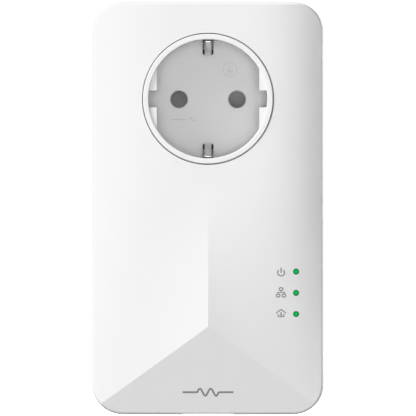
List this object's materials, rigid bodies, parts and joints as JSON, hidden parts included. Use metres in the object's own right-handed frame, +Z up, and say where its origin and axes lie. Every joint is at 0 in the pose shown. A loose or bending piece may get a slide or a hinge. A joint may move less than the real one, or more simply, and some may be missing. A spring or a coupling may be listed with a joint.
{
  "type": "powerline network adapter",
  "caption": "White plug-in powerline network adapter with an earthed pass-through socket, indicator lights, a pairing button and a network port.",
  "frame": {"origin": "on the mains plug's axis, in the plane of the housing's back face that lies against the wall socket", "axes": "+Z up, +X to the right seen from the front, the front with the socket faces -Y and the plug points to +Y"},
  "size_m": [0.076, 0.0797, 0.1355],
  "materials": {
    "housing_white": "fine spark-eroded grain, satin",
    "housing_white_back": "fine spark-eroded grain, satin",
    "label_silver": "satin film, blank",
    "screw_steel": "zinc plated",
    "socket_white": "smooth moulded",
    "shutter_grey": "moulded",
    "spring_steel": "drawn wire",
    "carrier_grey": "glass-filled moulding",
    "contact_brass": "stamped",
    "clip_nickel": "nickel plated, polished",
    "plug_white": "moulded, satin",
    "pin_nickel": "nickel plated, turned",
    "busbar_tinned": "tinned copper",
    "shield_steel": "tin-plated sheet",
    "jack_black": "moulded",
    "contact_gold": "gold plated wire",
    "button_white": "moulded, satin",
    "plunger_black": "moulded",
    "switch_black": "moulded",
    "light_guide_clear": "clear acrylic, lit green at its ends",
    "led_body": "moulded epoxy",
    "board_green": "solder mask over glass fibre",
    "capacitor_sleeve": "shrink sleeve on an aluminium can",
    "fuse_brown": "moulded",
    "varistor_blue": "epoxy coating",
    "film_capacitor": "moulded box",
    "choke_coating": "epoxy-coated ferrite",
    "copper_wire": "enamelled copper",
    "ferrite": "sintered ferrite",
    "winding_tape": "polyester tape",
    "chip_black": "moulded epoxy",
    "pad_rubber": "soft thermal pad",
    "sink_aluminium": "extruded",
    "crystal_can": "drawn can",
    "chip_ceramic": "ceramic"
  },
  "bodies": {
    "housing": {"front_cover": "housing_white", "back_cover": "housing_white_back", "rating_label": "label_silver", "housing_screws": "screw_steel", "socket_insert": "socket_white", "shutter_spring": "spring_steel", "contact_carrier": "carrier_grey", "carrier_screws": "screw_steel", "line_contact": "contact_brass", "neutral_contact": "contact_brass", "earth_strap": "busbar_tinned", "plug_base": "plug_white", "plug_earth_contacts": "clip_nickel", "line_pin": "pin_nickel", "neutral_pin": "pin_nickel", "line_busbar": "busbar_tinned", "neutral_busbar": "busbar_tinned", "jack_shield": "shield_steel", "jack_housing": "jack_black", "pair_switch": "switch_black", "light_guide": "light_guide_clear", "status_leds": "led_body", "main_board": "board_green", "board_screws": "screw_steel", "bulk_capacitors": "capacitor_sleeve", "output_capacitors": "capacitor_sleeve", "fuse": "fuse_brown", "varistor": "varistor_blue", "x_capacitor": "film_capacitor", "choke_core": "choke_coating", "choke_windings": "copper_wire", "flyback_core": "ferrite", "flyback_winding": "winding_tape", "coupling_transformer": "chip_black", "bridge_rectifier": "chip_black", "main_chip": "chip_black", "thermal_pad": "pad_rubber", "heat_sink": "sink_aluminium", "memory_chips": "chip_black", "crystal": "crystal_can", "lan_transformer": "chip_black", "chip_components": "chip_ceramic"},
    "shutter": {"socket_shutter": "shutter_grey"},
    "button": {"pair_button": "button_white", "switch_plunger": "plunger_black"},
    "upper_clip": {"earth_clip_upper": "clip_nickel"},
    "lower_clip": {"earth_clip_lower": "clip_nickel"},
    "port_wires": {"jack_contacts": "contact_gold"}
  },
  "joints": [
    {"name": "shutter_turn", "type": "hinge", "parent": "housing", "child": "shutter", "pos_m": [0, -0.021, 0], "axis": [0, 1, 0], "range_deg": [0, 38], "stiffness_Nm_per_rad": 0.004, "springref_deg": -34.38, "deforming": ["shutter_spring"]},
    {"name": "button_press", "type": "slide", "parent": "housing", "child": "button", "axis": [-1, 0, 0], "range_m": [0, 0.0005], "stiffness_N_per_m": 1500, "springref_m": -0.0003},
    {"name": "upper_clip_flex", "type": "hinge", "parent": "housing", "child": "upper_clip", "pos_m": [0, -0.0069, 0.018], "axis": [-1, 0, 0], "range_deg": [0, 4], "stiffness_Nm_per_rad": 2, "springref_deg": -1.15},
    {"name": "lower_clip_flex", "type": "hinge", "parent": "housing", "child": "lower_clip", "pos_m": [0, -0.0069, -0.018], "axis": [1, 0, 0], "range_deg": [0, 4], "stiffness_Nm_per_rad": 2, "springref_deg": -1.15},
    {"name": "port_wires_flex", "type": "hinge", "parent": "housing", "child": "port_wires", "pos_m": [0, -0.0169, -0.1009], "axis": [-1, 0, 0], "range_deg": [0, 12], "stiffness_Nm_per_rad": 0.2, "springref_deg": -2.86}
  ]
}
